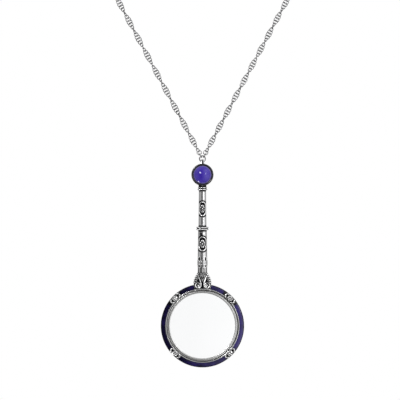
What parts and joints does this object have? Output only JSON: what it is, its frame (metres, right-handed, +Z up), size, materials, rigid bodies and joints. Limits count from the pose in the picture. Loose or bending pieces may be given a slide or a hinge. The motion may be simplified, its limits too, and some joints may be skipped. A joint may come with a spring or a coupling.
{
  "type": "magnifier pendant necklace",
  "caption": "Round magnifying lens in an enamelled silver frame on a cast handle with a domed stone, hung from a long twisted ladder chain that closes with a ring clasp.",
  "frame": {"origin": "middle of the clasp ring, at the nape of the neck", "axes": "+Z up, -Y towards the front of the pendant, +X to the viewer's right"},
  "size_m": [0.2006, 0.1327, 0.3032],
  "materials": {
    "chain_silver": "bright silver plate",
    "antique_silver": "antiqued silver with blackened recesses",
    "rim_silver": "satin silver",
    "black_metal": "glossy black",
    "purple_stone": "polished glass stone",
    "purple_enamel": "glossy translucent enamel",
    "lens_glass": "clear polished glass"
  },
  "bodies": {
    "chain": {"chain_left": "chain_silver", "chain_right": "chain_silver", "left_end_link": "chain_silver", "right_end_link": "chain_silver", "clasp": "chain_silver", "clasp_link_left": "chain_silver", "clasp_link_right": "chain_silver"},
    "ring": {"jump_ring": "chain_silver"},
    "pendant": {"bezel_cup": "black_metal", "cabochon": "purple_stone", "handle": "antique_silver", "scroll_mount": "antique_silver", "lens_frame": "antique_silver", "enamel_1": "purple_enamel", "enamel_2": "purple_enamel", "enamel_3": "purple_enamel", "enamel_4": "purple_enamel", "enamel_5": "purple_enamel", "plaque_1": "antique_silver", "plaque_2": "antique_silver", "plaque_3": "antique_silver", "plaque_4": "antique_silver", "lens_rim": "rim_silver", "lens": "lens_glass"}
  },
  "joints": [
    {"name": "ring_swing", "type": "hinge", "parent": "chain", "child": "ring", "pos_m": [0, -0.127, -0.205], "axis": [0, 1, 0], "range_deg": [-45, 45]},
    {"name": "pendant_swing", "type": "hinge", "parent": "ring", "child": "pendant", "pos_m": [0, -0.127, -0.20633], "axis": [1, 0, 0], "range_deg": [-70, 70]}
  ]
}
